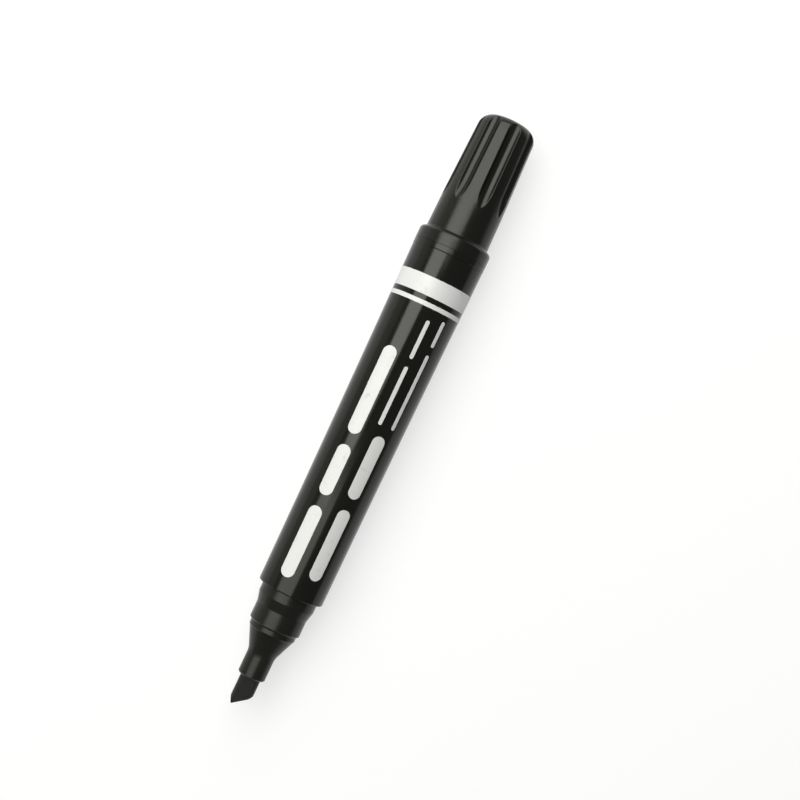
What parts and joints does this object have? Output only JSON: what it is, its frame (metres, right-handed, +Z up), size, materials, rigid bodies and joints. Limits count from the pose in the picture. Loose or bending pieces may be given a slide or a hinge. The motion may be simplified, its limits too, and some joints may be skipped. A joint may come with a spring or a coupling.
{
  "type": "chisel tip permanent marker",
  "caption": "Felt marker with a slanted chisel nib, its fluted cap pushed onto the tail and free to pull off.",
  "frame": {"origin": "on the surface the marker lies on, under the middle of its length and width", "axes": "+X along the marker from the nib to the cap's closed end, +Z up, +Y to the side where the nib is longest"},
  "size_m": [0.1438, 0.0172, 0.0171],
  "materials": {
    "barrel_plastic": "smooth black polypropylene",
    "cap_plastic": "smooth black polypropylene, a little duller than the barrel",
    "plug_plastic": "smooth black polypropylene",
    "nose_plastic": "satin black polypropylene",
    "liner_plastic": "natural polyethylene",
    "nib_felt": "pressed polyester fibre soaked in black ink",
    "reservoir_fibre": "polyester fibre bundle soaked in black ink",
    "film_plastic": "thin clear wrapping film stained by ink",
    "print_ink": "white pad-printed ink"
  },
  "bodies": {
    "marker": {"barrel": "barrel_plastic", "tail_plug": "plug_plastic", "nose": "nose_plastic", "nib": "nib_felt", "ink_reservoir": "reservoir_fibre", "reservoir_film": "film_plastic"},
    "cap": {"cap_shell": "cap_plastic", "cap_liner": "liner_plastic"}
  },
  "joints": [
    {"name": "cap_pull", "type": "slide", "parent": "marker", "child": "cap", "axis": [1, 0, 0], "range_m": [0, 0.035]}
  ]
}
